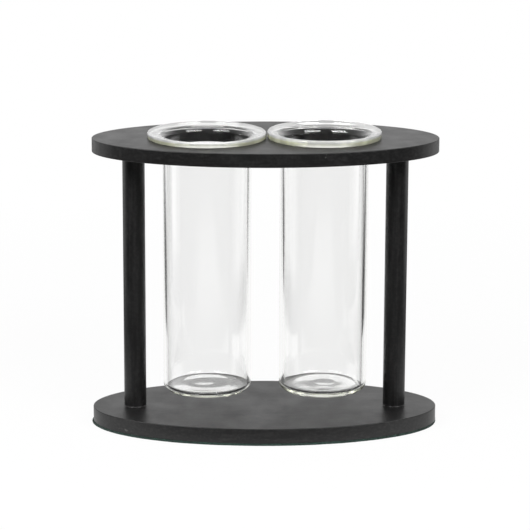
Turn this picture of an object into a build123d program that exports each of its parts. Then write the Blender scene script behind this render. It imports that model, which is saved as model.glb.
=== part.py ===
from build123d import *
from math import asin, atan2, cos, degrees, hypot, radians, sin, tan
import os

# Test tube vase: two glass tubes hang by their lips in an oval board that two posts carry over an oval base.
# Millimetres. X runs along the boards, Y towards the back, Z up from the table under the felt.

# Glass tubes
tube_diameter = 50.0  # outside of the wall
left_tube_wall = 2.0
right_tube_wall = 2.7
tube_depth = 145.8  # from the foot to the underside of the lip
left_tube_floor = 1.6  # glass under the edge of each floor
right_tube_floor = 2.3
left_lip_width = 8.4  # how far each hand-turned lip stands out from the wall
right_lip_width = 7.1
left_rim_thickness = 3.4  # upright rim of each lip
right_rim_thickness = 4.0
left_root_radius = 2.0  # bend under each lip, which leaves it as thick as the wall and grows to the rim
right_root_radius = 2.8
rim_top_radius = 1.1  # upper edge of the rim
rim_foot_radius = 0.5  # lower edge of the rim
lip_gap = 0.5  # air between the two lips
heel_radius = 4.0  # outside, between wall and foot
inner_heel_radius = 2.4
floor_ring_width = 1.0  # flat ring round the broad swelling of the floor
floor_crown_rise = 0.5
foot_ring_width = 3.0  # flat ring round the shallow hollow of the foot
foot_hollow_rise = 0.15
tube_base_gap = 10.4  # air between the foot and the base board

# Oval boards
top_thickness = 7.8
base_thickness = 8.5
board_end_margin = 17.0  # top board beyond each post, along X
board_side_margin = 14.6  # boards beyond the larger lip, along Y
base_end_overhang = 0.7  # base board beyond the top board at each end
arris_radius = 0.4  # sanded edges of the boards
hole_clearance = 2.8  # around a tube in its hole, on the radius

# Posts
post_diameter = 12.6
post_tube_gap = 9.9  # air between a post and the tube beside it
post_end_chamfer = 0.4
socket_skin = 3.0  # wood left over a post's socket in the top board
glue_gap = 0.1  # around a post in its socket

# Felt liner
felt_thickness = 1.3
felt_inset = 0.2  # from the outline of the base board

# Countersunk wood screws, from under the base board into the posts
screw_length = 30.0
screw_head_diameter = 7.6
screw_head_angle = 90.0
screw_shank_diameter = 3.2
screw_core_diameter = 2.6
screw_thread_diameter = 4.0
screw_thread_pitch = 1.8
screw_thread_length = 18.0  # from the start of the thread to the start of the point
screw_point_length = 3.5
screw_clearance = 0.05  # around the screw in the wood, on the radius
recess_length = 4.0  # arms of the cross in the screw head
recess_width = 0.9
recess_depth = 1.6

# Places along X
tube_radius = tube_diameter / 2
left_lip_radius = tube_radius + left_lip_width
right_lip_radius = tube_radius + right_lip_width
tube_x = (left_lip_radius + right_lip_radius + lip_gap) / 2
post_radius = post_diameter / 2
post_x = tube_x + tube_radius + post_tube_gap + post_radius

# Outlines of the boards
top_half_length = post_x + post_radius + board_end_margin
base_half_length = top_half_length + base_end_overhang
board_half_depth = max(left_lip_radius, right_lip_radius) + board_side_margin

# Heights
base_top = felt_thickness + base_thickness
foot_height = base_top + tube_base_gap
seat_height = foot_height + tube_depth  # upper face of the top board, where the lips sit
top_underside = seat_height - top_thickness
post_top = seat_height - socket_skin - glue_gap

# Round sizes that follow from the fits
hole_radius = tube_radius + hole_clearance
foot_hollow_radius = tube_radius - heel_radius - foot_ring_width
screw_hole_radius = screw_thread_diameter / 2 + screw_clearance

os.makedirs("parts", exist_ok=True)

# Felt liner, glued under the base board
with BuildPart() as felt_pad:
    with BuildSketch():
        Ellipse(base_half_length - felt_inset, board_half_depth - felt_inset)
    extrude(amount=felt_thickness)
felt_pad.part.label = "felt_pad"
export_step(felt_pad.part, "parts/felt_pad.step")

# Base board, with a countersunk hole under each post
with BuildPart() as base_board:
    with BuildSketch(Plane.XY.offset(felt_thickness)):
        Ellipse(base_half_length, board_half_depth)
    extrude(amount=base_thickness)
    fillet(base_board.edges().filter_by(Axis.Z, reverse=True), radius=arris_radius)
    with Locations(Plane(origin=(0, 0, felt_thickness), z_dir=(0, 0, -1))):
        with GridLocations(2 * post_x, 0, 2, 1):
            CounterSinkHole(
                radius=screw_hole_radius,
                counter_sink_radius=screw_head_diameter / 2 + screw_clearance,
                depth=base_thickness,
                counter_sink_angle=screw_head_angle,
            )
base_board.part.label = "base_board"
export_step(base_board.part, "parts/base_board.step")

# Top board, with a hole for each tube and a blind socket for each post
with BuildPart() as top_board:
    with BuildSketch(Plane.XY.offset(top_underside)):
        Ellipse(top_half_length, board_half_depth)
        with GridLocations(2 * tube_x, 0, 2, 1):
            Circle(hole_radius, mode=Mode.SUBTRACT)
    extrude(amount=top_thickness)
    fillet(top_board.edges().filter_by(Axis.Z, reverse=True), radius=arris_radius)
    with BuildSketch(Plane.XY.offset(top_underside)):
        with GridLocations(2 * post_x, 0, 2, 1):
            Circle(post_radius + glue_gap)
    extrude(amount=top_thickness - socket_skin, mode=Mode.SUBTRACT)
top_board.part.label = "top_board"
export_step(top_board.part, "parts/top_board.step")

# Posts: they stand on the base board, end in the top board's sockets and take the screws from below
pilot_depth = screw_length - base_thickness + screw_clearance
for side, sign in (("left", -1), ("right", 1)):
    with BuildPart() as post:
        with BuildSketch(Plane((sign * post_x, 0, base_top))):
            Circle(post_radius)
        extrude(amount=post_top - base_top)
        chamfer(post.edges().filter_by(GeomType.CIRCLE), length=post_end_chamfer)
        with BuildSketch(Plane((sign * post_x, 0, base_top))):
            Circle(screw_hole_radius)
        extrude(amount=pilot_depth, mode=Mode.SUBTRACT)
    post.part.label = f"post_{side}"
    export_step(post.part, f"parts/post_{side}.step")

# Screws: a countersunk head with a cross recess, a plain shank, then the thread as ridges and a point
head_radius = screw_head_diameter / 2
shank_radius = screw_shank_diameter / 2
core_radius = screw_core_diameter / 2
thread_radius = screw_thread_diameter / 2
screw_tip = felt_thickness + screw_length
point_start = screw_tip - screw_point_length
thread_start = point_start - screw_thread_length
ridge_count = int(screw_thread_length / screw_thread_pitch)
ridge_points = []
for ridge in range(ridge_count):
    ridge_start = thread_start + ridge * screw_thread_pitch
    ridge_points.append((core_radius, ridge_start))
    ridge_points.append((thread_radius, ridge_start + screw_thread_pitch / 2))
head_height = (head_radius - shank_radius) / tan(radians(screw_head_angle / 2))
with BuildPart() as base_screws:
    with BuildSketch(Plane((-post_x, 0, 0), x_dir=(1, 0, 0), z_dir=(0, -1, 0))):
        with BuildLine():
            Polyline(
                (0, felt_thickness),
                (head_radius, felt_thickness),
                (shank_radius, felt_thickness + head_height),
                (shank_radius, thread_start),
                *ridge_points,
                (core_radius, point_start),
                (0, screw_tip),
                close=True,
            )
        make_face()
    revolve(axis=Axis((-post_x, 0, 0), (0, 0, 1)))
    with BuildSketch(Plane((-post_x, 0, felt_thickness))):
        Rectangle(recess_length, recess_width)
        Rectangle(recess_width, recess_length)
    extrude(amount=recess_depth, mode=Mode.SUBTRACT)
    mirror(about=Plane.YZ)
base_screws.part.label = "base_screws"
export_step(base_screws.part, "parts/base_screws.step")

# Glass tubes: one turned outline each, from the hollow of the foot round the lip to the crown of the floor
tube_sizes = (
    ("left", -1, left_lip_radius, left_rim_thickness, left_root_radius, left_tube_wall, left_tube_floor),
    ("right", 1, right_lip_radius, right_rim_thickness, right_root_radius, right_tube_wall, right_tube_floor),
)
for side, sign, lip_radius, rim_thickness, root_radius, tube_wall, tube_floor in tube_sizes:
    bore_radius = tube_radius - tube_wall
    mouth_radius = tube_wall + root_radius
    floor_height = foot_height + tube_floor
    floor_crown_radius = bore_radius - inner_heel_radius - floor_ring_width
    rim_height = seat_height + rim_thickness - rim_top_radius
    # The lip's upper face is straight, and runs smoothly into the rounds of the rim and of the mouth
    mouth_centre = (tube_radius + root_radius, seat_height - root_radius)
    reach = lip_radius - rim_top_radius - mouth_centre[0]
    rise = rim_height - mouth_centre[1]
    slope = atan2(rise, reach) - asin((mouth_radius - rim_top_radius) / hypot(reach, rise))
    mouth_edge = (
        mouth_centre[0] - mouth_radius * sin(slope),
        mouth_centre[1] + mouth_radius * cos(slope),
    )
    with BuildPart() as tube:
        with BuildSketch(Plane((sign * tube_x, 0, 0), x_dir=(1, 0, 0), z_dir=(0, -1, 0))):
            with BuildLine():
                hollow = TangentArc(
                    (0, foot_height + foot_hollow_rise), (foot_hollow_radius, foot_height), tangent=(1, 0)
                )
                foot = Line(hollow @ 1, (tube_radius - heel_radius, foot_height))
                heel = JernArc(foot @ 1, foot % 1, heel_radius, 90)
                wall = Line(heel @ 1, (tube_radius, seat_height - root_radius))
                root = JernArc(wall @ 1, wall % 1, root_radius, -90)
                seat = Line(root @ 1, (lip_radius - rim_foot_radius, seat_height))
                rim_foot = JernArc(seat @ 1, seat % 1, rim_foot_radius, 90)
                rim = Line(rim_foot @ 1, (lip_radius, rim_height))
                rim_top = JernArc(rim @ 1, rim % 1, rim_top_radius, 90 + degrees(slope))
                lip_face = Line(rim_top @ 1, mouth_edge)
                mouth = JernArc(lip_face @ 1, lip_face % 1, mouth_radius, 90 - degrees(slope))
                bore = Line(mouth @ 1, (bore_radius, floor_height + inner_heel_radius))
                inner_heel = JernArc(bore @ 1, bore % 1, inner_heel_radius, -90)
                crown = TangentArc(
                    (0, floor_height + floor_crown_rise), (floor_crown_radius, floor_height), tangent=(1, 0)
                )
                Line(inner_heel @ 1, crown @ 1)
                Line(crown @ 0, hollow @ 0)
            make_face()
        revolve(axis=Axis((sign * tube_x, 0, 0), (0, 0, 1)))
    tube.part.label = f"tube_{side}"
    export_step(tube.part, f"parts/tube_{side}.step")
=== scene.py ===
"""Dresses the test tube vase: two glass tubes hung by their lips in an oval board, over a felt-lined base.

Everything is in metres in the frame of the solids. Sizes of pieces are written in millimetres.
"""

import logging
import math
import random
from collections.abc import Callable
from dataclasses import dataclass
from enum import Enum

import bpy
from mathutils import Matrix, Vector, noise


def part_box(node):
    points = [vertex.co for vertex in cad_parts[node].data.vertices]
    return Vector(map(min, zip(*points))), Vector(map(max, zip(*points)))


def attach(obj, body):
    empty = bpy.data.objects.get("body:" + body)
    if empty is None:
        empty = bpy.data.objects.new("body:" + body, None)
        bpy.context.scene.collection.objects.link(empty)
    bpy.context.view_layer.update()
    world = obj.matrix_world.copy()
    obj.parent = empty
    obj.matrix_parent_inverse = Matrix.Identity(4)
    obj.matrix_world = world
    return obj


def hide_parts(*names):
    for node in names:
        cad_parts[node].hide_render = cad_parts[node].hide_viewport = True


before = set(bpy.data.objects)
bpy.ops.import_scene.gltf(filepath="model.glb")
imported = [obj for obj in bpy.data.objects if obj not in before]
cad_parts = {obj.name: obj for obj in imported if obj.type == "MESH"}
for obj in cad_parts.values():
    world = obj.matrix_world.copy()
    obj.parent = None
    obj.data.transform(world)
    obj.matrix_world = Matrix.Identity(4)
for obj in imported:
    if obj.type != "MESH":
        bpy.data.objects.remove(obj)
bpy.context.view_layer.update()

LOG = logging.getLogger("test_tube_vase")
MM = 0.001
CLOSE = 1e-6  # heights nearer than this, in millimetres, are the same

# Most of a noise pattern lies between these values
NOISE_LOW = 0.3
NOISE_HIGH = 0.7

# What a node does with its inputs
ABSOLUTE = {"operation": "ABSOLUTE"}
ADD = {"operation": "ADD"}
GREATER_THAN = {"operation": "GREATER_THAN"}
LENGTH = {"operation": "LENGTH"}
LESS_THAN = {"operation": "LESS_THAN"}
MAXIMUM = {"operation": "MAXIMUM"}
MULTIPLY = {"operation": "MULTIPLY"}
MULTIPLY_ADD = {"operation": "MULTIPLY_ADD"}
POWER = {"operation": "POWER"}
SUBTRACT = {"operation": "SUBTRACT"}
COLOURS = {"data_type": "RGBA"}

Outline = list[tuple[float, float]]
Faces = list[tuple[int, ...]]


class Side(Enum):
    """The side of the stand that a piece is on, as seen from the front."""

    LEFT = "left"
    RIGHT = "right"


class Grain(Enum):
    """The axis that the wood's grain follows under the paint."""

    ALONG_X = 0
    ALONG_Z = 2


class Slot(Enum):
    """The record's material slots."""

    PAINT = "black_painted_wood"
    FELT = "green_felt"
    SCREW = "zinc_plated_steel"
    GLASS = "clear_glass"


def linear(colour: str) -> tuple[float, float, float, float]:
    """Turns an sRGB hex colour into Blender's linear colour.

    Args:
        colour: The colour, such as "#1d3b33".

    Returns:
        Linear red, green and blue, and an alpha of 1.
    """
    parts = [int(colour[place : place + 2], 16) / 255 for place in (1, 3, 5)]
    red, green, blue = [p / 12.92 if p <= 0.04045 else ((p + 0.055) / 1.055) ** 2.4 for p in parts]
    return red, green, blue, 1.0


def add_node(
    tree: bpy.types.NodeTree,
    kind: str,
    settings: dict[str, object] | None = None,
    inputs: dict[str | int, object] | None = None,
) -> bpy.types.Node:
    """Adds one node to a tree, with its settings and its links.

    Args:
        tree: The node tree.
        kind: Blender's name for the kind of node, without its "ShaderNode".
        settings: Values of the node's own properties.
        inputs: What each input gets, by name or place: a socket to link, or a constant.

    Returns:
        The new node.
    """
    node = tree.nodes.new("ShaderNode" + kind)
    for name, value in (settings or {}).items():
        setattr(node, name, value)
    for name, value in (inputs or {}).items():
        socket = node.inputs[name]
        if isinstance(value, bpy.types.NodeSocket):
            tree.links.new(value, socket)
        else:
            socket.default_value = value
    return node


def new_tree(name: str) -> tuple[bpy.types.Material, bpy.types.NodeTree]:
    """Makes a material with an empty node tree.

    Args:
        name: The material's name.

    Returns:
        The material and its tree.
    """
    material = bpy.data.materials.new(name)
    material.use_nodes = True
    material.node_tree.nodes.clear()
    return material, material.node_tree


def per_metre(*sizes: float) -> tuple[float, ...]:
    """Turns feature sizes in millimetres into pattern scales per metre."""
    return tuple(1 / (size * MM) for size in sizes)


def add_piece(
    name: str,
    points: list[Vector],
    faces: Faces,
    material: bpy.types.Material,
    body: str,
) -> bpy.types.Object:
    """Makes a smooth mesh piece that rides on a body.

    Args:
        name: The piece's name.
        points: Its points, in metres.
        faces: Its faces, as places in the points.
        material: Its finish.
        body: The body that it moves with.

    Returns:
        The new object.
    """
    mesh = bpy.data.meshes.new(name)
    mesh.from_pydata(points, [], faces)
    mesh.polygons.foreach_set("use_smooth", [True] * len(mesh.polygons))
    mesh.materials.append(material)
    piece = bpy.data.objects.new(name, mesh)
    bpy.context.scene.collection.objects.link(piece)
    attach(piece, body)
    LOG.info("%s: %d points, rides on %s", name, len(points), body)
    return piece


def dress_node(node: str, material: bpy.types.Material) -> None:
    """Gives a carried-over node its finish.

    Args:
        node: The node's name.
        material: The finish.
    """
    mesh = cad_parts[node].data
    mesh.materials.clear()
    mesh.materials.append(material)
    LOG.info("%s: dressed in %s", node, material.name)


def arc(centre: tuple[float, float], radius: float, start: float, end: float, steps: int) -> Outline:
    """Gives points along a circular arc of an outline.

    Args:
        centre: The arc's centre.
        radius: Its radius.
        start: The angle of its first point, in degrees.
        end: The angle of its last point, in degrees.
        steps: How many steps it is drawn in.

    Returns:
        The points, both ends included.
    """
    angles = [math.radians(start + (end - start) * step / steps) for step in range(steps + 1)]
    return [(centre[0] + radius * math.cos(a), centre[1] + radius * math.sin(a)) for a in angles]


def run(start: tuple[float, float], end: tuple[float, float], steps: int) -> Outline:
    """Gives points along a straight run of an outline, without its two ends.

    Args:
        start: The point before the run.
        end: The point after it.
        steps: How many steps it is drawn in.

    Returns:
        The points between the ends.
    """
    shares = [step / steps for step in range(1, steps)]
    return [(start[0] + (end[0] - start[0]) * s, start[1] + (end[1] - start[1]) * s) for s in shares]


def join_rings(rings: list[list[int]], segments: int) -> Faces:
    """Joins each ring of points to the next with faces, where a ring of one point is a pole.

    Args:
        rings: The rings in order, as places in the points.
        segments: How many points go round a ring.

    Returns:
        The faces.
    """
    faces: Faces = []
    for lower, upper in zip(rings, rings[1:]):
        for segment in range(segments):
            after = (segment + 1) % segments
            if len(lower) == 1:
                faces.append((lower[0], upper[after], upper[segment]))
            elif len(upper) == 1:
                faces.append((lower[segment], lower[after], upper[0]))
            else:
                faces.append((lower[segment], lower[after], upper[after], upper[segment]))
    return faces


def turn(
    outline: Outline,
    axis: tuple[float, float],
    segments: int,
    closed: bool,
    shape: Callable[[float, float, float], tuple[float, float]],
) -> tuple[list[Vector], Faces]:
    """Turns an outline about an upright axis.

    Args:
        outline: Radius and height of each point in millimetres. A radius of 0 becomes a pole.
        axis: Where the axis stands, x and y in millimetres.
        segments: How many steps go round.
        closed: Whether the last point joins the first.
        shape: Gives the true radius and height at a radius, height and angle.

    Returns:
        The points in metres, and the faces.
    """
    points: list[Vector] = []
    rings: list[list[int]] = []
    for radius, height in outline:
        ring = []
        for segment in range(segments if radius > 0 else 1):
            angle = 2 * math.pi * segment / segments
            true_radius, true_height = shape(radius, height, angle)
            x = axis[0] + true_radius * math.cos(angle)
            y = axis[1] + true_radius * math.sin(angle)
            ring.append(len(points))
            points.append(Vector((x, y, true_height)) * MM)
        rings.append(ring)
    return points, join_rings(rings + rings[:1] if closed else rings, segments)


def swell(place: float, reach: float) -> float:
    """Gives a smooth rise from 0 at the reach to 1 at the middle."""
    return 0.5 + 0.5 * math.cos(math.pi * min(abs(place) / reach, 1.0))


def cap(place: float, reach: float) -> float:
    """Gives the height of a shallow round cap, from 0 at the reach to 1 at the middle."""
    return max(0.0, 1.0 - (place / reach) ** 2)


@dataclass(frozen=True)
class Mark:
    """A place where the paint is scuffed or chipped, as an egg-shaped patch in millimetres."""

    centre: tuple[float, float, float]
    size: tuple[float, float, float]
    colour: str
    core: float = 0.4  # share of the patch that is worn through
    flecks: tuple[float, float] = (0.5, 0.62)  # stipple from which it shows, and shows fully


@dataclass(frozen=True)
class BlackPaintedWood:
    """Close-grained wood, sanded and brushed with one coat of matte black paint.

    The coat is thin and a little cloudy, with the grain and the brush showing as faint streaks. It is nearly
    black face on, and turns pale grey where it mirrors a white room at a low angle.
    """

    name: str
    grain: Grain
    coat_colour: str = "#030303"
    thin_colour: str = "#262525"
    thin_range: tuple[float, float] = (0.46, 0.74)  # mottle from which the coat thins, and is thinnest
    roughness_low: float = 0.36
    roughness_high: float = 0.46
    grain_width: float = 1.1
    grain_length: float = 26.0
    cloud_size: float = 13.0
    stipple_size: float = 1.4  # real stipple is near 0.3 mm, drawn coarser so that it shows
    stipple_share: float = 0.45  # share of stipple in the mottle, where the rest is grain
    grain_height: float = 1.6  # against the height of the clouds
    stipple_height: float = 0.7
    relief: float = 0.026
    ior: float = 1.56
    marks: tuple[Mark, ...] = ()

    def build(self) -> bpy.types.Material:
        """Makes the material.

        Returns:
            The material.
        """
        material, tree = new_tree(self.name)
        place = add_node(tree, "TexCoord").outputs["Object"]
        grain_sizes = [self.grain_width] * 3
        grain_sizes[self.grain.value] = self.grain_length
        along = add_node(tree, "Mapping", inputs={"Vector": place, "Scale": per_metre(*grain_sizes)})
        cloud_scale, stipple_scale = per_metre(self.cloud_size, self.stipple_size)
        grain_noise = {"Vector": along.outputs[0], "Scale": 1.0, "Detail": 3.0, "Roughness": 0.6}
        cloud_noise = {"Vector": place, "Scale": cloud_scale, "Detail": 4.0, "Roughness": 0.55}
        stipple_noise = {"Vector": place, "Scale": stipple_scale, "Detail": 2.0}
        streaks = add_node(tree, "TexNoise", inputs=grain_noise).outputs[0]
        clouds = add_node(tree, "TexNoise", inputs=cloud_noise).outputs[0]
        stipple = add_node(tree, "TexNoise", inputs=stipple_noise).outputs[0]

        both = {"Factor": self.stipple_share, "A": streaks, "B": stipple}
        mottle = add_node(tree, "Mix", inputs=both).outputs["Result"]
        thinning = {"Value": mottle, "From Min": self.thin_range[0], "From Max": self.thin_range[1]}
        thin = add_node(tree, "MapRange", inputs=thinning).outputs[0]
        coats = {"Factor": thin, "A": linear(self.coat_colour), "B": linear(self.thin_colour)}
        colour = add_node(tree, "Mix", COLOURS, coats).outputs["Result"]
        for mark in self.marks:
            colour = self.scuff(tree, place, stipple, colour, mark)
        gloss = {
            "Value": clouds,
            "From Min": NOISE_LOW,
            "From Max": NOISE_HIGH,
            "To Min": self.roughness_low,
            "To Max": self.roughness_high,
        }
        roughness = add_node(tree, "MapRange", inputs=gloss).outputs[0]
        grain_relief = {0: streaks, 1: self.grain_height, 2: clouds}
        brushed = add_node(tree, "Math", MULTIPLY_ADD, grain_relief).outputs[0]
        all_relief = {0: stipple, 1: self.stipple_height, 2: brushed}
        height = add_node(tree, "Math", MULTIPLY_ADD, all_relief).outputs[0]
        relief = {"Strength": 1.0, "Distance": self.relief * MM, "Height": height}
        bump = add_node(tree, "Bump", inputs=relief).outputs[0]
        surface = {"Base Color": colour, "Roughness": roughness, "IOR": self.ior, "Normal": bump}
        shader = add_node(tree, "BsdfPrincipled", inputs=surface)
        add_node(tree, "OutputMaterial", inputs={"Surface": shader.outputs[0]})
        return material

    def scuff(
        self,
        tree: bpy.types.NodeTree,
        place: bpy.types.NodeSocket,
        breakup: bpy.types.NodeSocket,
        colour: bpy.types.NodeSocket,
        mark: Mark,
    ) -> bpy.types.NodeSocket:
        """Lets bare wood show through the coat at a mark.

        Args:
            tree: The material's tree.
            place: The place on the surface.
            breakup: A pattern that breaks up the mark.
            colour: The colour before.
            mark: The mark.

        Returns:
            The colour after.
        """
        scale = Vector(per_metre(*mark.size))
        offset = Vector(mark.centre) * MM
        shift = [-offset[i] * scale[i] for i in range(3)]
        near = add_node(tree, "Mapping", inputs={"Vector": place, "Scale": scale, "Location": shift})
        far = add_node(tree, "VectorMath", LENGTH, {0: near.outputs[0]}).outputs["Value"]
        patch = {"Value": far, "From Min": mark.core, "From Max": 1.0, "To Min": 1.0, "To Max": 0.0}
        inside = add_node(tree, "MapRange", inputs=patch).outputs[0]
        flecks = {"Value": breakup, "From Min": mark.flecks[0], "From Max": mark.flecks[1]}
        broken = add_node(tree, "MapRange", inputs=flecks).outputs[0]
        share = add_node(tree, "Math", MULTIPLY, {0: inside, 1: broken}).outputs[0]
        bare = {"Factor": share, "A": colour, "B": linear(mark.colour)}
        return add_node(tree, "Mix", COLOURS, bare).outputs["Result"]


@dataclass(frozen=True)
class ClearGlass:
    """Soda-lime glass tubing, drawn, then flared and fire-polished by hand.

    It is clear, its rim glows yellow-green with the light that has run a long way inside it, and its drawn
    wall waves a little, so that what is seen through it bends along upright lines. The rim's glow is painted:
    a diffuse share of the rim takes a yellow-green colour in place of that light. Sizes are in millimetres.
    """

    name: str
    axis: float  # where the tube's axis stands along X
    rim_radius: float  # where the upright rim is, from the axis
    rim_level: float  # how high the rim's painted yellow-green glow goes
    floor_level: float  # upper face of the floor
    rim_depth: float = 0.6  # how deep the rim's painted glow goes
    rim_fade: float = 0.4  # how far below its level the rim's painted glow starts to fade
    painted_rim_glow: float = 0.42  # share of the rim made diffuse, a painted glow of the light that has run inside the glass
    lip_start: float = 25.5  # where the lip's upper face begins, from the axis
    lip_fade: float = 1.5  # how far out from there its haze sets in
    lip_haze: float = 0.4  # share of light that the lip's upper face scatters
    lip_roughness: float = 0.12
    front_glow_share: float = 0.4  # share of the rim's painted glow colour at the front, where the glow is painted fainter
    front_range: tuple[float, float] = (-0.97, -0.8)  # the front along Y, in rim radii
    patch_size: float = 7.0  # patches of more and of less painted glow on the rim
    patch_swing: float = 0.3  # how far they differ from the middle, as a share
    floor_haze: float = 0.04  # roughness that the tool left on the floor
    floor_range: tuple[float, float] = (0.6, 1.6)  # where that ends, above the floor
    line_range: tuple[float, float] = (0.4, 0.8)  # drawn lines from which the wall is duller
    line_roughness: float = 0.012
    body_colour: str = "#ffffff"
    # rim_glow_colour is the painted yellow-green glow of light that has run a long way inside the rim
    rim_glow_colour: str = "#edefd2"
    edge_colour: str = "#e6e9d2"
    edge_density: float = 6.0
    ior: float = 1.51
    draw_width: float = 3.5
    draw_length: float = 120.0
    relief: float = 0.006

    def outer_face(
        self, tree: bpy.types.NodeTree, mask: bpy.types.NodeSocket, inside: bpy.types.NodeSocket
    ) -> bpy.types.NodeSocket:
        """Keeps a mask on the outer face of the glass alone.

        Args:
            tree: The material's tree.
            mask: The mask.
            inside: 1 where light meets the glass from within.

        Returns:
            The mask, and 0 where light comes from within.
        """
        outer = add_node(tree, "Math", MULTIPLY_ADD, {0: inside, 1: -1.0, 2: mask}).outputs[0]
        return add_node(tree, "Math", MAXIMUM, {0: outer, 1: 0.0}).outputs[0]

    def build(self) -> bpy.types.Material:
        """Makes the material.

        Returns:
            The material.
        """
        material, tree = new_tree(self.name)
        place = add_node(tree, "TexCoord").outputs["Object"]
        parts = add_node(tree, "SeparateXYZ", inputs={0: place}).outputs
        inside = add_node(tree, "NewGeometry").outputs["Backfacing"]
        scales = per_metre(self.draw_width, self.draw_width, self.draw_length)
        along = add_node(tree, "Mapping", inputs={"Vector": place, "Scale": scales}).outputs[0]
        lines = add_node(tree, "TexNoise", inputs={"Vector": along, "Scale": 1.0, "Detail": 1.0}).outputs[0]
        from_axis = {"Vector": place, "Location": (-self.axis * MM, 0, 0), "Scale": (1, 1, 0)}
        aside = add_node(tree, "Mapping", {"vector_type": "POINT"}, from_axis).outputs[0]
        radius = add_node(tree, "VectorMath", LENGTH, {0: aside}).outputs["Value"]

        # Masks of the rim and of the lip's upper face
        rim_start = (self.rim_radius - self.rim_depth) * MM
        rim_full = (self.rim_radius - 0.5 * self.rim_depth) * MM
        edge = {"Value": radius, "From Min": rim_start, "From Max": rim_full}
        rim = self.outer_face(tree, add_node(tree, "MapRange", inputs=edge).outputs[0], inside)
        lip_full = (self.lip_start + self.lip_fade) * MM
        spread = {"Value": radius, "From Min": self.lip_start * MM, "From Max": lip_full}
        lip = self.outer_face(tree, add_node(tree, "MapRange", inputs=spread).outputs[0], inside)

        # Haze: the rim's painted glow, as a diffuse share, and a diffuse share on the lip's upper face
        patch_noise = {"Vector": place, "Scale": per_metre(self.patch_size)[0], "Detail": 1.0}
        patch_range = {
            "Value": add_node(tree, "TexNoise", inputs=patch_noise).outputs[0],
            "From Min": NOISE_LOW,
            "From Max": NOISE_HIGH,
            "To Min": (1.0 + self.patch_swing) * self.painted_rim_glow,
            "To Max": (1.0 - self.patch_swing) * self.painted_rim_glow,
        }
        patches = add_node(tree, "MapRange", inputs=patch_range).outputs[0]
        # The rim's diffuse share paints the glow of light that has run inside the glass
        painted_rim_glow = add_node(tree, "Math", MULTIPLY, {0: rim, 1: patches}).outputs[0]
        lip_haze = add_node(tree, "Math", MULTIPLY, {0: lip, 1: self.lip_haze}).outputs[0]
        haze = add_node(tree, "Math", MAXIMUM, {0: painted_rim_glow, 1: lip_haze}).outputs[0]
        clear = add_node(tree, "Math", SUBTRACT, {0: 1.0, 1: haze}).outputs[0]

        # Colour: the rim's painted yellow-green glow, below its level and fainter at the front
        low_range = {
            "Value": parts["Z"],
            "From Min": (self.rim_level - self.rim_fade) * MM,
            "From Max": self.rim_level * MM,
            "To Min": 1.0,
            "To Max": 0.0,
        }
        front_range = {
            "Value": parts["Y"],
            "From Min": self.front_range[0] * self.rim_radius * MM,
            "From Max": self.front_range[1] * self.rim_radius * MM,
            "To Min": self.front_glow_share,
            "To Max": 1.0,
        }
        low = add_node(tree, "MapRange", inputs=low_range).outputs[0]
        round_front = add_node(tree, "MapRange", inputs=front_range).outputs[0]
        low_rim = add_node(tree, "Math", MULTIPLY, {0: rim, 1: low}).outputs[0]
        # Where the rim's painted yellow-green glow shows
        painted_glow_share = add_node(tree, "Math", MULTIPLY, {0: low_rim, 1: round_front}).outputs[0]
        glow_colours = {"Factor": painted_glow_share, "A": linear(self.body_colour), "B": linear(self.rim_glow_colour)}
        colour = add_node(tree, "Mix", COLOURS, glow_colours).outputs["Result"]

        # Roughness: drawn lines, the floor and the lip
        line_range = {
            "Value": lines,
            "From Min": self.line_range[0],
            "From Max": self.line_range[1],
            "To Max": self.line_roughness,
        }
        floor_range = {
            "Value": parts["Z"],
            "From Min": (self.floor_level + self.floor_range[0]) * MM,
            "From Max": (self.floor_level + self.floor_range[1]) * MM,
            "To Min": self.floor_haze,
            "To Max": 0.0,
        }
        on_lines = add_node(tree, "MapRange", inputs=line_range).outputs[0]
        on_floor = add_node(tree, "MapRange", inputs=floor_range).outputs[0]
        below = add_node(tree, "Math", ADD, {0: on_lines, 1: on_floor}).outputs[0]
        polish = add_node(tree, "Math", MULTIPLY_ADD, {0: lip, 1: self.lip_roughness, 2: below}).outputs[0]

        relief = {"Strength": 1.0, "Distance": self.relief * MM, "Height": lines}
        surface = {
            "Base Color": colour,
            "Roughness": polish,
            "IOR": self.ior,
            "Transmission Weight": clear,
            "Normal": add_node(tree, "Bump", inputs=relief).outputs[0],
        }
        shader = add_node(tree, "BsdfPrincipled", inputs=surface)
        depth = {"Color": linear(self.edge_colour), "Density": self.edge_density}
        tint = add_node(tree, "VolumeAbsorption", inputs=depth)
        add_node(tree, "OutputMaterial", inputs={"Surface": shader.outputs[0], "Volume": tint.outputs[0]})
        return material


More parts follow.
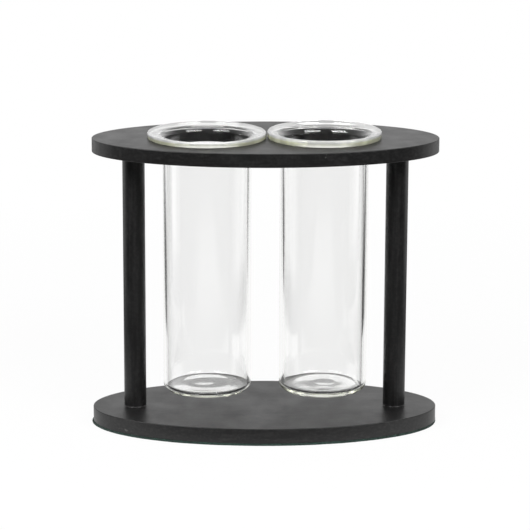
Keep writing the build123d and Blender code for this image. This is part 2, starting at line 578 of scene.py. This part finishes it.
@dataclass(frozen=True)
class GreenFelt:
    """Pressed wool felt, dyed dark green and cut with shears.

    Its fibres lie every way, so it is dull and fuzzy with no thread to see, lighter where they stand up.
    """

    name: str = "pressed wool felt, dyed dark green"
    deep_colour: str = "#0b1613"
    light_colour: str = "#2a463d"
    light_range: tuple[float, float] = (0.55, 1.05)  # pile from which the felt is lighter, and lightest
    fibre_size: float = 0.5
    tuft_size: float = 3.0
    tuft_height: float = 0.6  # against the height of the fibres
    relief: float = 0.15
    sheen: float = 0.15

    def build(self) -> bpy.types.Material:
        """Makes the material.

        Returns:
            The material.
        """
        material, tree = new_tree(self.name)
        place = add_node(tree, "TexCoord").outputs["Object"]
        fibre_scale, tuft_scale = per_metre(self.fibre_size, self.tuft_size)
        fibre_noise = {"Vector": place, "Scale": fibre_scale, "Detail": 4.0, "Roughness": 0.7}
        fibre_noise["Distortion"] = 1.5
        tuft_noise = {"Vector": place, "Scale": tuft_scale, "Detail": 3.0}
        fibres = add_node(tree, "TexNoise", inputs=fibre_noise).outputs[0]
        tufts = add_node(tree, "TexNoise", inputs=tuft_noise).outputs[0]
        pile = add_node(tree, "Math", MULTIPLY_ADD, {0: tufts, 1: self.tuft_height, 2: fibres}).outputs[0]
        standing = {"Value": pile, "From Min": self.light_range[0], "From Max": self.light_range[1]}
        share = add_node(tree, "MapRange", inputs=standing).outputs[0]
        dyes = {"Factor": share, "A": linear(self.deep_colour), "B": linear(self.light_colour)}
        relief = {"Strength": 0.8, "Distance": self.relief * MM, "Height": pile}
        surface = {
            "Base Color": add_node(tree, "Mix", COLOURS, dyes).outputs["Result"],
            "Roughness": 0.95,
            "IOR": 1.5,
            "Sheen Weight": self.sheen,
            "Sheen Roughness": 0.5,
            "Normal": add_node(tree, "Bump", inputs=relief).outputs[0],
        }
        shader = add_node(tree, "BsdfPrincipled", inputs=surface)
        add_node(tree, "OutputMaterial", inputs={"Surface": shader.outputs[0]})
        return material


@dataclass(frozen=True)
class ZincPlatedSteel:
    """Steel wood screws, cold-headed, rolled and bright zinc plated.

    The plate is a cool grey with a soft gloss that is cloudier in some places than in others.
    """

    name: str = "steel, bright zinc plated"
    bright_colour: str = "#c6cad0"
    dull_colour: str = "#9da2a8"
    roughness_low: float = 0.2
    roughness_high: float = 0.42
    cloud_size: float = 1.2

    def build(self) -> bpy.types.Material:
        """Makes the material.

        Returns:
            The material.
        """
        material, tree = new_tree(self.name)
        place = add_node(tree, "TexCoord").outputs["Object"]
        cloud_noise = {"Vector": place, "Scale": per_metre(self.cloud_size)[0], "Detail": 4.0}
        clouds = add_node(tree, "TexNoise", inputs=cloud_noise).outputs[0]
        greys = {"Factor": clouds, "A": linear(self.bright_colour), "B": linear(self.dull_colour)}
        gloss = {"Value": clouds, "To Min": self.roughness_low, "To Max": self.roughness_high}
        surface = {
            "Base Color": add_node(tree, "Mix", COLOURS, greys).outputs["Result"],
            "Metallic": 1.0,
            "Roughness": add_node(tree, "MapRange", inputs=gloss).outputs[0],
        }
        shader = add_node(tree, "BsdfPrincipled", inputs=surface)
        add_node(tree, "OutputMaterial", inputs={"Surface": shader.outputs[0]})
        return material


@dataclass(frozen=True)
class Press:
    """A round dent that the tool left in the soft floor, in millimetres. A depth below 0 is a swelling."""

    place: tuple[float, float]  # along X and Y, from the tube's axis
    radius: float
    depth: float
    sharpness: float = 2.0  # higher means a flatter middle and a steeper edge

    def depth_at(self, x: float, y: float) -> float:
        """Gives the depth at a place."""
        away = math.hypot(x - self.place[0], y - self.place[1]) / self.radius
        return self.depth * max(0.0, 1.0 - away**self.sharpness)


@dataclass
class GlassTube:
    """A flat-bottomed glass tube whose wide lip thickens to an upright rim, in millimetres."""

    side: Side
    floor: float  # glass under the edge of the floor
    dome_rise: float  # how far the floor swells in the middle
    floor_tilt: float  # degrees that the floor rises towards the back
    presses: tuple[Press, ...]
    level_radius: float  # the middle of the floor doesn't lean, out to about half this far
    ring_height: float  # height of the ring waves on the floor
    ring_spacing: float
    lip_ripple: float  # height of the ring waves on the lip
    lip_ripple_spacing: float
    seed: int
    wall: float
    root_radius: float  # bend under the lip
    diameter: float = 50.0
    rim_top_radius: float = 1.1
    rim_foot_radius: float = 0.5
    heel_radius: float = 3.8
    inner_heel_radius: float = 2.2
    foot_middle: float = 18.0  # radius of the foot's middle, which is drawn in steps of its own
    lean_fade: float = 8.0  # higher means that the floor leans nearer to its edge
    air_gap: float = 0.06  # the lip rests on high spots of the paint, so light inside it still meets air
    lip_wave: float = 0.12
    rim_dent: float = 0.03
    rim_share: float = 0.62  # how much of the rim's height has the painted yellow-green glow
    wall_wave: float = 0.03
    short_wave: float = 9.0  # height up the wall in which each wave goes on by a radian
    long_wave: float = 17.0
    segments: int = 176

    def __post_init__(self) -> None:
        """Reads where the tube is and how large its lip is from the frame."""
        self.node = f"tube_{self.side.value}"
        low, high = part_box(self.node)
        self.axis = ((low.x + high.x) / 2 / MM, (low.y + high.y) / 2 / MM)
        self.foot = low.z / MM
        self.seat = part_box("top_board")[1].z / MM + self.air_gap
        self.rim_top = high.z / MM
        self.lip_radius = (high.x - low.x) / 2 / MM
        self.bend = self.diameter / 2 + self.root_radius
        self.floor_level = self.foot + self.floor
        self.bore = self.diameter / 2 - self.wall
        self.floor_end = self.bore - self.inner_heel_radius
        draws = random.Random(self.seed)
        self.phases = [draws.uniform(0, 2 * math.pi) for _ in range(6)]

    def lip_outline(self) -> Outline:
        """Gives the outline of the lip, from the bend under it round the rim to the mouth.

        Returns:
            Radius and height of each point.
        """
        root = (self.bend, self.seat - self.root_radius)
        rim_foot = (self.lip_radius - self.rim_foot_radius, self.seat + self.rim_foot_radius)
        rim_top = (self.lip_radius - self.rim_top_radius, self.rim_top - self.rim_top_radius)
        mouth_radius = self.wall + self.root_radius
        mouth = root
        reach = rim_top[0] - mouth[0]
        rise = rim_top[1] - mouth[1]
        rounds = math.asin((mouth_radius - self.rim_top_radius) / math.hypot(reach, rise))
        meeting = 90 + math.degrees(math.atan2(rise, reach) - rounds)
        points = arc(root, self.root_radius, 180, 90, 10)
        points += run(points[-1], (rim_foot[0], self.seat), 6)
        points += arc(rim_foot, self.rim_foot_radius, -90, 0, 6)
        points += run(points[-1], (self.lip_radius, rim_top[1]), 6)
        points += arc(rim_top, self.rim_top_radius, 0, meeting, 12)
        mouth_round = arc(mouth, mouth_radius, meeting, 180, 18)
        points += run(points[-1], mouth_round[0], 10)
        return points + mouth_round

    def outline(self) -> Outline:
        """Gives the turned outline, from the middle of the foot round the lip to the middle of the floor.

        Returns:
            Radius and height of each point.
        """
        outer = self.diameter / 2
        lip = self.lip_outline()
        heel = (outer - self.heel_radius, self.foot + self.heel_radius)
        inner_heel = (self.floor_end, self.floor_level + self.inner_heel_radius)
        corner = arc(inner_heel, self.inner_heel_radius, 0, -90, 14)
        points = [(self.foot_middle * step / 12, self.foot) for step in range(13)]
        points += run(points[-1], (heel[0], self.foot), 5)
        points += arc(heel, self.heel_radius, -90, 0, 9)
        points += run(points[-1], lip[0], 28)
        points += lip
        points += run(points[-1], corner[0], 28)
        points += corner
        points += run(points[-1], (0, self.floor_level), 42)
        points.append((0, self.floor_level))
        return points

    def shape(self, radius: float, height: float, angle: float) -> tuple[float, float]:
        """Adds the floor's form, and the waves that hand work leaves in the glass.

        Args:
            radius: The outline's radius.
            height: The outline's height.
            angle: The angle round the tube, in radians.

        Returns:
            The true radius and height.
        """
        two = math.sin(2 * angle + self.phases[0])
        three = math.sin(3 * angle + self.phases[1])
        if height < self.foot + CLOSE:
            return radius, height
        if radius < self.floor_end and height > self.floor_level - CLOSE:
            return radius, height + self.floor_shape(radius, angle, two)
        if height > self.seat - CLOSE:
            return self.shape_lip(radius, height, angle, 0.5 * two + 0.4 * three)
        fade = swell(height - (self.foot + self.seat) / 2, (self.seat - self.foot) / 2)
        short = math.sin(height / self.short_wave + self.phases[3])
        long = math.sin(height / self.long_wave + angle + self.phases[4])
        drift = short * 0.6 + long
        return radius + self.wall_wave * fade * (drift * 0.5 + two), height

    def floor_shape(self, radius: float, angle: float, two: float) -> float:
        """Gives the swelling, the lean, the dents and the ring waves of the floor.

        Args:
            radius: The outline's radius.
            angle: The angle round the tube, in radians.
            two: A wave that goes twice round the tube.

        Returns:
            How far the glass stands above the outline.
        """
        x = radius * math.cos(angle)
        y = radius * math.sin(angle)
        lean = math.tan(math.radians(self.floor_tilt)) * (1.0 - swell(radius, self.level_radius))
        rise = lean * y * (1.0 - (radius / self.floor_end) ** self.lean_fade)
        rings = math.sin(2 * math.pi * radius / self.ring_spacing + 0.3 * two + self.phases[2])
        rise += self.ring_height * rings * swell(radius, self.floor_end)
        rise += self.dome_rise * cap(radius, self.floor_end)
        return rise - sum(press.depth_at(x, y) for press in self.presses)

    def shape_lip(self, radius: float, height: float, angle: float, tilt: float) -> tuple[float, float]:
        """Adds the waves in the lip and the dents in its rim.

        Args:
            radius: The outline's radius.
            height: The outline's height.
            angle: The angle round the tube, in radians.
            tilt: How far the lip stands up or hangs down at that angle, from -0.9 to 0.9.

        Returns:
            The true radius and height.
        """
        reach = max(0.0, (radius - self.bend) / (self.lip_radius - self.bend))
        above = (height - self.seat) / (self.rim_top - self.seat)
        wave = self.lip_wave * reach * (tilt - 0.9)
        way = Vector((math.cos(angle), math.sin(angle), self.seed))
        if radius > self.lip_radius - self.rim_foot_radius:
            dent = self.rim_dent * max(0.0, noise.noise(way * 9.0))
            return radius + 0.5 * wave - dent, height + above * wave
        ripple = 0.0
        if radius < self.lip_radius - self.rim_top_radius:
            upper = min(max((height - self.seat) / self.wall - 0.8, 0.0) / 0.2, 1.0)
            ripple = upper * self.lip_ripple * math.sin(2 * math.pi * radius / self.lip_ripple_spacing)
        return radius + 0.5 * wave, height + above * wave + ripple

    def build(self) -> bpy.types.Object:
        """Makes the tube.

        Returns:
            The tube.
        """
        name = f"clear soda-lime glass, drawn and fire-polished, {self.side.value} tube"
        # The rim's painted yellow-green glow reaches up to this level
        rim_level = self.seat + self.rim_share * (self.rim_top - self.seat)
        glass = ClearGlass(name, self.axis[0], self.lip_radius, rim_level, self.floor_level).build()
        points, faces = turn(self.outline(), self.axis, self.segments, False, self.shape)
        tube = add_piece(f"glass_tube_{self.side.value}", points, faces, glass, self.node)
        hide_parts(self.node)
        return tube


@dataclass
class FeltLiner:
    """The felt under the base board, cut by hand, with loose fibres along its edge, in millimetres."""

    segments: int = 960
    overhang: float = 0.25  # beyond the solid's outline, on average
    end_overhang: float = 0.6  # more of it at the left end, where the shears ran wide
    raggedness: float = 0.3
    slow_size: float = 14.0  # where the shears wandered
    quick_size: float = 1.3  # where tufts stand out of the cut
    fuzz: float = 0.12
    nap_size: float = 1.7
    fibre_count: int = 1700
    fibre_length: float = 1.1
    fibre_thickness: float = 0.06  # a wool fibre is near 0.03 mm, drawn thicker so that it shows
    seed: int = 21

    def __post_init__(self) -> None:
        """Reads the felt's outline from the frame."""
        low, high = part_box("felt_pad")
        self.half_length = (high.x - low.x) / 2 / MM
        self.half_depth = (high.y - low.y) / 2 / MM
        self.thickness = (high.z - low.z) / MM

    def edge(self, angle: float) -> float:
        """Gives how far the cut stands beyond the solid's outline at an angle.

        Args:
            angle: The angle round the oval, in radians.

        Returns:
            The overhang.
        """
        x = self.half_length * math.cos(angle)
        y = self.half_depth * math.sin(angle)
        slow = noise.noise(Vector((x / self.slow_size, y / self.slow_size, 0.3)))
        quick = noise.noise(Vector((x / self.quick_size, y / self.quick_size, 7.7)))
        left_end = swell(angle - math.pi, 0.4)
        return self.overhang + self.end_overhang * left_end + self.raggedness * (0.7 * slow + 0.4 * quick)

    def build_sheet(self, felt: bpy.types.Material) -> bpy.types.Object:
        """Makes the sheet: an upper face glued to the board, a soft edge and a fuzzy underside.

        Args:
            felt: The felt.

        Returns:
            The sheet.
        """
        edge_profile = [(-0.2, 1.0), (0.0, 0.9), (0.05, 0.65), (0.05, 0.35), (0.04, 0.12), (-0.05, 0.02)]
        rows: list[tuple[float, float, float]] = [(share, 0.0, 1.0) for share in (0.0, 0.5, 0.9)]
        rows += [(1.0, out, level) for out, level in edge_profile]
        rows += [(share, 0.0, 0.0) for share in (0.985, 0.96, 0.92, 0.86, 0.78, 0.68, 0.56, 0.42, 0.26, 0.0)]
        points: list[Vector] = []
        rings: list[list[int]] = []
        for share, out, level in rows:
            ring = []
            for segment in range(self.segments if share > 0 else 1):
                angle = 2 * math.pi * segment / self.segments
                proud = share * self.edge(angle) + out
                x = (share * self.half_length + proud) * math.cos(angle)
                y = (share * self.half_depth + proud) * math.sin(angle)
                z = level * self.thickness
                if level < 1.0:
                    nap = noise.noise(Vector((x / self.nap_size, y / self.nap_size, z + 3.1)))
                    z += self.fuzz * (0.5 + 0.5 * nap) * (1.0 if level == 0.0 else 0.3)
                ring.append(len(points))
                points.append(Vector((x, y, z)) * MM)
            rings.append(ring)
        faces = [tuple(reversed(face)) for face in join_rings(rings, self.segments)]
        return add_piece("felt_liner", points, faces, felt, "stand")

    def build_fibres(self, felt: bpy.types.Material) -> bpy.types.Object:
        """Makes the loose fibres along the cut edge.

        Args:
            felt: The felt.

        Returns:
            The fibres.
        """
        draws = random.Random(self.seed)
        points: list[Vector] = []
        faces: Faces = []
        for _ in range(self.fibre_count):
            angle = draws.uniform(0, 2 * math.pi)
            proud = self.edge(angle) - 0.08
            start = Vector(
                (
                    (self.half_length + proud) * math.cos(angle),
                    (self.half_depth + proud) * math.sin(angle),
                    draws.uniform(0.25, 0.9) * self.thickness,
                )
            )
            way_out = Vector((math.cos(angle) / self.half_length, math.sin(angle) / self.half_depth, 0))
            out = way_out.normalized()
            along = Vector((-out.y, out.x, 0))
            length = self.fibre_length * draws.uniform(0.35, 1.0)
            lean = draws.uniform(-1.2, 1.2)
            lift = draws.uniform(-0.5, 0.45)
            curl = draws.uniform(-0.6, 0.6)
            self.add_fibre(points, faces, start, out, along, length, lean, lift, curl)
        return add_piece("felt_edge_fibres", points, faces, felt, "stand")

    def add_fibre(
        self,
        points: list[Vector],
        faces: Faces,
        start: Vector,
        out: Vector,
        along: Vector,
        length: float,
        lean: float,
        lift: float,
        curl: float,
    ) -> None:
        """Adds one three-sided fibre.

        Args:
            points: The points so far.
            faces: The faces so far.
            start: Where it leaves the felt.
            out: The way out of the cut edge.
            along: The way along the cut edge.
            length: Its length.
            lean: How far it leans along the edge.
            lift: How far it lifts or droops.
            curl: How far it curls along the edge.
        """
        first = len(points)
        steps = 3
        lowest = self.fibre_thickness
        for step in range(steps + 1):
            share = step / steps
            reach = length * share
            middle = start + out * reach * 0.6 + along * (lean * reach * 0.6 + curl * share * share * length)
            middle.z = max(start.z + lift * reach, lowest)
            radius = self.fibre_thickness / 2 * (1.0 - 0.6 * share)
            for corner in range(3):
                turn_angle = 2 * math.pi * corner / 3
                spread = along * math.cos(turn_angle) + Vector((0, 0, 1)) * math.sin(turn_angle)
                points.append((middle + spread * radius) * MM)
        for step in range(steps):
            for corner in range(3):
                after = (corner + 1) % 3
                low = first + 3 * step
                faces.append((low + corner, low + after, low + 3 + after, low + 3 + corner))
        faces.append((first + 2, first + 1, first))
        last = first + 3 * steps
        faces.append((last, last + 1, last + 2))

    def build(self, felt: bpy.types.Material) -> None:
        """Args:
            felt: The felt.
        """
        sheet = self.build_sheet(felt)
        fibres = self.build_fibres(felt)
        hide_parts("felt_pad")


@dataclass
class Stand:
    """The painted stand: two oval boards, two posts, the paint gathered round them, and the screws."""

    bead_reach: float = 0.6
    bead_rise: float = 0.5
    bead_root: float = 0.25  # how far a bead goes into the wood on either side
    bead_wobble: float = 0.3
    segments: int = 72

    def bead(self, name: str, post: str, level: float, sign: int, paint: bpy.types.Material) -> None:
        """Makes the hollow bead of paint round one end of a post.

        Args:
            name: The bead's name.
            post: The post's node.
            level: The height of the face that the post meets, in millimetres.
            sign: 1 where the post rises from the face, -1 where it hangs from it.
            paint: The paint.
        """
        low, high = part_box(post)
        axis = ((low.x + high.x) / 2 / MM, (low.y + high.y) / 2 / MM)
        radius = (high.x - low.x) / 2 / MM
        curve = arc((1.0, 1.0), 1.0, 270, 180, 8)
        outline: Outline = [(radius - self.bead_root, level - sign * self.bead_root)]
        outline.append((radius + self.bead_reach, level - sign * self.bead_root))
        outline += [(radius + self.bead_reach * x, level + sign * self.bead_rise * y) for x, y in curve]
        outline.append((radius - self.bead_root, level + sign * self.bead_rise))

        def wobble(at_radius: float, height: float, angle: float) -> tuple[float, float]:
            """Varies the bead round the post."""
            way = Vector((math.cos(angle), math.sin(angle), 0.1 * axis[0] + 0.01 * level))
            share = 1.0 + self.bead_wobble * noise.noise(way * 1.7)
            if at_radius > radius:
                at_radius = radius + (at_radius - radius) * share
            above = (height - level) * sign
            if above > 0:
                height = level + sign * above * share
            return at_radius, height

        points, faces = turn(outline, axis, self.segments, True, wobble)
        if sign < 0:
            faces = [tuple(reversed(face)) for face in faces]
        add_piece(name, points, faces, paint, "stand")

    def build(self) -> None:
        """Dresses the wood and the screws, and adds the beads of paint."""
        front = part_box("top_board")[0].y / MM
        marks = (
            Mark((31.9, front * 0.945, 163.5), (0.8, 4.0, 2.4), "#565553"),
            Mark((-79.0, front * 0.57, 3.4), (5.5, 5.0, 0.9), "#4c4b49"),
        )
        board = BlackPaintedWood("matte black paint, brushed on board", Grain.ALONG_X, marks=marks).build()
        dowel = BlackPaintedWood("matte black paint, brushed on dowel", Grain.ALONG_Z).build()
        for node in ("base_board", "top_board"):
            dress_node(node, board)
        for node in ("post_left", "post_right"):
            dress_node(node, dowel)
        dress_node("base_screws", ZincPlatedSteel().build())
        base_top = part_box("base_board")[1].z / MM
        top_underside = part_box("top_board")[0].z / MM
        for side in Side:
            post = f"post_{side.value}"
            self.bead(f"paint_bead_foot_{side.value}", post, base_top, 1, dowel)
            self.bead(f"paint_bead_head_{side.value}", post, top_underside, -1, dowel)


@dataclass(frozen=True)
class Lamp:
    """A rectangular softbox."""

    name: str
    place: tuple[float, float, float]
    aim: tuple[float, float, float]
    width: float
    height: float
    power: float

    def build(self) -> None:
        """Hangs the softbox and turns it to what it lights."""
        light = bpy.data.lights.new(self.name, "AREA")
        light.shape = "RECTANGLE"
        light.size = self.width
        light.size_y = self.height
        light.energy = self.power
        lamp = bpy.data.objects.new(self.name, light)
        lamp.location = self.place
        lamp.rotation_euler = (Vector(self.aim) - Vector(self.place)).to_track_quat("-Z", "Y").to_euler()
        bpy.context.scene.collection.objects.link(lamp)


@dataclass
class Studio:
    """The white floor, the white room, its softboxes and the camera. Lengths are in metres."""

    floor_radius: float = 4.0
    floor_colour: str = "#f4f4f4"
    floor_glow: float = 0.95  # share of the floor's white that doesn't take the shadow, near the vase
    shadow_start: float = 0.2  # up to here the floor takes the most shadow
    shadow_reach: float = 0.6  # where the floor takes no more shadow
    paper_half_width: float = 0.18  # the white paper is this wide to either side, up to its hinge
    paper_hinge: float = 0.2  # behind this depth the paper widens
    paper_flare_left: float = 0.32
    paper_flare_right: float = 0.52
    paper_edge: float = 0.012
    table_width: float = 0.1  # dark table between the paper and the side screens
    table_level: float = 0.06  # how bright it is, where white is 1
    screen_edge: float = 0.1  # how softly the table gives way to them
    screen_level: float = 1.0  # how bright the side screens are
    screen_start: tuple[float, float] = (-0.1, 0.05)  # where they begin along Y
    upper_level: float = 0.5  # how bright the upper walls are, as a share of the lower ones
    upper_start: tuple[float, float] = (0.5, 0.7)  # where they begin: the height of an arrow 1 long
    ceiling_level: float = 0.5
    ceiling_start: tuple[float, float] = (0.75, 0.97)
    ambient: float = 0.2
    front_level: float = 0.12  # how bright the room is behind the camera, where white is 1
    room_ease: float = 1.6  # higher means that the room stays dim farther round
    front_floor_level: float = 0.06  # how bright the floor in front of the vase is
    pool_level: float = 0.36  # how bright a pool of light on that floor is
    pool_near: tuple[float, float] = (-0.16, -0.3)  # where the pool sets in along Y
    pool_far: tuple[float, float] = (-0.62, -0.42)  # where it ends
    paper_start: tuple[float, float] = (-0.088, -0.045)  # where the white paper begins along Y
    paper_level: float = 0.95
    bounces: int = 40  # light runs along the walls of the tubes to their rims
    azimuth: float = -1.315
    elevation: float = 13.832
    roll: float = 0.233
    distance: float = 1.46986
    target: tuple[float, float, float] = (-0.00012, 0.0, 0.09222)
    lens: float = 175.99
    sensor: float = 36.0

    def build_camera(self) -> None:
        """Sets the camera where the photograph was taken from."""
        azimuth = math.radians(self.azimuth)
        elevation = math.radians(self.elevation)
        roll = math.radians(self.roll)
        back = Vector(
            (
                math.sin(azimuth) * math.cos(elevation),
                -math.cos(azimuth) * math.cos(elevation),
                math.sin(elevation),
            )
        )
        level_right = Vector((math.cos(azimuth), math.sin(azimuth), 0))
        level_up = back.cross(level_right)
        right = level_right * math.cos(roll) + level_up * math.sin(roll)
        up = level_up * math.cos(roll) - level_right * math.sin(roll)
        data = bpy.data.cameras.new("camera")
        data.lens = self.lens
        data.sensor_width = self.sensor
        camera = bpy.data.objects.new("camera", data)
        turned = Matrix((right, up, back)).transposed().to_4x4()
        camera.matrix_world = Matrix.Translation(Vector(self.target) + back * self.distance) @ turned
        bpy.context.scene.collection.objects.link(camera)
        bpy.context.scene.camera = camera

    def seen_straight(
        self, tree: bpy.types.NodeTree, rays: bpy.types.bpy_prop_collection
    ) -> bpy.types.NodeSocket:
        """Tells rays that see the white straight or through clear glass from those that mirror it.

        Args:
            tree: The node tree.
            rays: The outputs of its Light Path node.

        Returns:
            1 for such a ray, and 0 for any other.
        """
        unmirrored = add_node(tree, "Math", LESS_THAN, {0: rays["Glossy Depth"], 1: 0.5}).outputs[0]
        through = add_node(tree, "Math", MULTIPLY, {0: rays["Is Transmission Ray"], 1: unmirrored}).outputs[0]
        return add_node(tree, "Math", MAXIMUM, {0: rays["Is Camera Ray"], 1: through}).outputs[0]

    def build_world(self) -> None:
        """Makes a white room that is dimmer behind the camera, where mirrored light comes from."""
        world = bpy.data.worlds.new("white room")
        world.use_nodes = True
        tree = world.node_tree
        tree.nodes.clear()
        rays = add_node(tree, "LightPath").outputs
        way = add_node(tree, "TexCoord").outputs["Generated"]
        parts = add_node(tree, "SeparateXYZ", inputs={0: way}).outputs
        turned_back = {"Value": parts["Y"], "From Min": -1.0, "From Max": 0.95}
        back = add_node(tree, "MapRange", inputs=turned_back).outputs[0]
        eased = add_node(tree, "Math", POWER, {0: back, 1: self.room_ease}).outputs[0]
        round_room = {"Value": eased, "To Min": self.front_level, "To Max": 1.0}
        walls = add_node(tree, "MapRange", inputs=round_room).outputs[0]
        upper_range = {
            "Value": parts["Z"],
            "From Min": self.upper_start[0],
            "From Max": self.upper_start[1],
            "To Min": 1.0,
            "To Max": self.upper_level,
        }
        ceiling_range = {
            "Value": parts["Z"],
            "From Min": self.ceiling_start[0],
            "From Max": self.ceiling_start[1],
            "To Max": self.ceiling_level,
        }
        upper = add_node(tree, "MapRange", inputs=upper_range).outputs[0]
        ceiling = add_node(tree, "MapRange", inputs=ceiling_range).outputs[0]
        dimmed = add_node(tree, "Math", MULTIPLY, {0: walls, 1: upper}).outputs[0]
        mirrored = add_node(tree, "Math", MAXIMUM, {0: dimmed, 1: ceiling}).outputs[0]
        by_ray = {"Factor": rays["Is Glossy Ray"], "A": self.ambient, "B": mirrored}
        lit = add_node(tree, "Mix", inputs=by_ray).outputs["Result"]
        seen = self.seen_straight(tree, rays)
        strength = add_node(tree, "Mix", inputs={"Factor": seen, "A": lit, "B": 1.0}).outputs["Result"]
        white = add_node(tree, "Background", inputs={"Color": linear("#ffffff"), "Strength": strength})
        add_node(tree, "OutputWorld", inputs={"Surface": white.outputs[0]})
        bpy.context.scene.world = world

    def floor_finish(self) -> bpy.types.Material:
        """Makes the white floor, which takes a faint shadow and is dimmer far in front when mirrored.

        Returns:
            The material.
        """
        material, tree = new_tree("matte white studio floor")
        rays = add_node(tree, "LightPath").outputs
        place = add_node(tree, "TexCoord").outputs["Object"]
        parts = add_node(tree, "SeparateXYZ", inputs={0: place}).outputs
        ranges = {}
        for name, (start, end) in {
            "nearer": self.pool_near,
            "farther": self.pool_far,
            "on_paper": self.paper_start,
            "behind": (self.paper_hinge, self.paper_hinge + 1.0),
            "beside": self.screen_start,
        }.items():
            along = {"Value": parts["Y"], "From Min": start, "From Max": end}
            ranges[name] = add_node(tree, "MapRange", inputs=along).outputs[0]
        pool = add_node(tree, "Math", MULTIPLY, {0: ranges["nearer"], 1: ranges["farther"]}).outputs[0]
        front = {"Value": pool, "To Min": self.front_floor_level, "To Max": self.pool_level}
        in_front = add_node(tree, "MapRange", inputs=front).outputs[0]
        sheet = {"Factor": ranges["on_paper"], "A": in_front, "B": self.paper_level}
        paper = add_node(tree, "Mix", inputs=sheet).outputs["Result"]

        # The paper's edge, the dark table beside it and the screens beyond that
        on_right = add_node(tree, "Math", GREATER_THAN, {0: parts["X"], 1: 0.0}).outputs[0]
        flares = {"Factor": on_right, "A": self.paper_flare_left, "B": self.paper_flare_right}
        flare = add_node(tree, "Mix", inputs=flares).outputs["Result"]
        widening = {0: ranges["behind"], 1: flare, 2: self.paper_half_width}
        half_width = add_node(tree, "Math", MULTIPLY_ADD, widening).outputs[0]
        aside = add_node(tree, "Math", ABSOLUTE, {0: parts["X"]}).outputs[0]
        past_edge = add_node(tree, "Math", SUBTRACT, {0: aside, 1: half_width}).outputs[0]
        edge_range = {"Value": past_edge, "From Max": self.paper_edge}
        beyond = add_node(tree, "MapRange", inputs=edge_range).outputs[0]
        screen_range = {
            "Value": past_edge,
            "From Min": self.table_width,
            "From Max": self.table_width + self.screen_edge,
            "To Min": self.table_level,
            "To Max": self.screen_level,
        }
        screens = add_node(tree, "MapRange", inputs=screen_range).outputs[0]
        side_levels = {"Factor": ranges["beside"], "A": self.table_level, "B": screens}
        sides = add_node(tree, "Mix", inputs=side_levels).outputs["Result"]
        mirrored = add_node(tree, "Mix", inputs={"Factor": beyond, "A": paper, "B": sides}).outputs["Result"]

        seen = self.seen_straight(tree, rays)
        strength = add_node(tree, "Mix", inputs={"Factor": seen, "A": mirrored, "B": 1.0}).outputs["Result"]
        glow = add_node(tree, "Emission", inputs={"Color": linear("#ffffff"), "Strength": strength})
        matte = add_node(tree, "BsdfDiffuse", inputs={"Color": linear(self.floor_colour)})
        glow_range = {
            "Value": add_node(tree, "VectorMath", LENGTH, {0: place}).outputs["Value"],
            "From Min": self.shadow_start,
            "From Max": self.shadow_reach,
            "To Min": self.floor_glow,
            "To Max": 1.0,
        }
        glowing = add_node(tree, "MapRange", inputs=glow_range).outputs[0]
        direct = add_node(tree, "Math", MULTIPLY, {0: rays["Is Camera Ray"], 1: glowing}).outputs[0]
        share = add_node(tree, "Math", MAXIMUM, {0: direct, 1: rays["Is Glossy Ray"]}).outputs[0]
        mixed = add_node(tree, "MixShader", inputs={0: share, 1: matte.outputs[0], 2: glow.outputs[0]})
        add_node(tree, "OutputMaterial", inputs={"Surface": mixed.outputs[0]})
        return material

    def build_floor(self) -> None:
        """Lays the floor."""
        count = 96
        angles = [2 * math.pi * step / count for step in range(count)]
        points = [Vector((math.cos(a), math.sin(a), 0)) * self.floor_radius for a in angles]
        mesh = bpy.data.meshes.new("studio_floor")
        mesh.from_pydata(points, [], [tuple(range(count))])
        mesh.materials.append(self.floor_finish())
        floor = bpy.data.objects.new("studio_floor", mesh)
        bpy.context.scene.collection.objects.link(floor)

    def build(self) -> None:
        """Sets up the whole studio."""
        bpy.context.scene.view_settings.view_transform = "Standard"
        light_paths = bpy.context.scene.cycles
        light_paths.max_bounces = self.bounces
        light_paths.glossy_bounces = self.bounces
        light_paths.transmission_bounces = self.bounces
        self.build_camera()
        self.build_world()
        self.build_floor()
        middle = (0.0, 0.0, 0.1)
        lamps = (
            Lamp("softbox_left", (-0.65, -0.58, 0.78), middle, 0.8, 0.34, 8.5),
            Lamp("softbox_right", (0.54, -0.69, 0.78), middle, 0.8, 0.34, 8.5),
            Lamp("softbox_top", (0.0, 0.25, 1.3), middle, 1.0, 0.8, 2.0),
        )
        for lamp in lamps:
            lamp.build()


def main() -> None:
    """Builds the studio and dresses the vase, piece by piece."""
    Studio().build()
    left = GlassTube(
        Side.LEFT,
        floor=2.05,
        dome_rise=0.75,
        floor_tilt=0.3,
        presses=(Press((0.0, 5.0), 14.0, 0.38, 3.0), Press((-2.0, 4.0), 7.5, -0.17)),
        level_radius=1.0,
        ring_height=0.003,
        ring_spacing=7.0,
        lip_ripple=0.02,
        lip_ripple_spacing=1.9,
        seed=3,
        wall=2.0,
        root_radius=2.0,
    )
    right = GlassTube(
        Side.RIGHT,
        floor=2.45,
        dome_rise=0.2,
        floor_tilt=1.8,
        presses=(Press((1.0, 2.0), 6.5, -0.1),),
        level_radius=26.0,
        ring_height=0.006,
        ring_spacing=5.0,
        lip_ripple=0.025,
        lip_ripple_spacing=1.7,
        seed=8,
        wall=2.7,
        root_radius=2.8,
    )
    for tube in (left, right):
        tube.build()
    Stand().build()
    FeltLiner().build(GreenFelt().build())


if __name__ == "__main__":
    logging.basicConfig(level=logging.INFO, format="%(message)s")
    main()
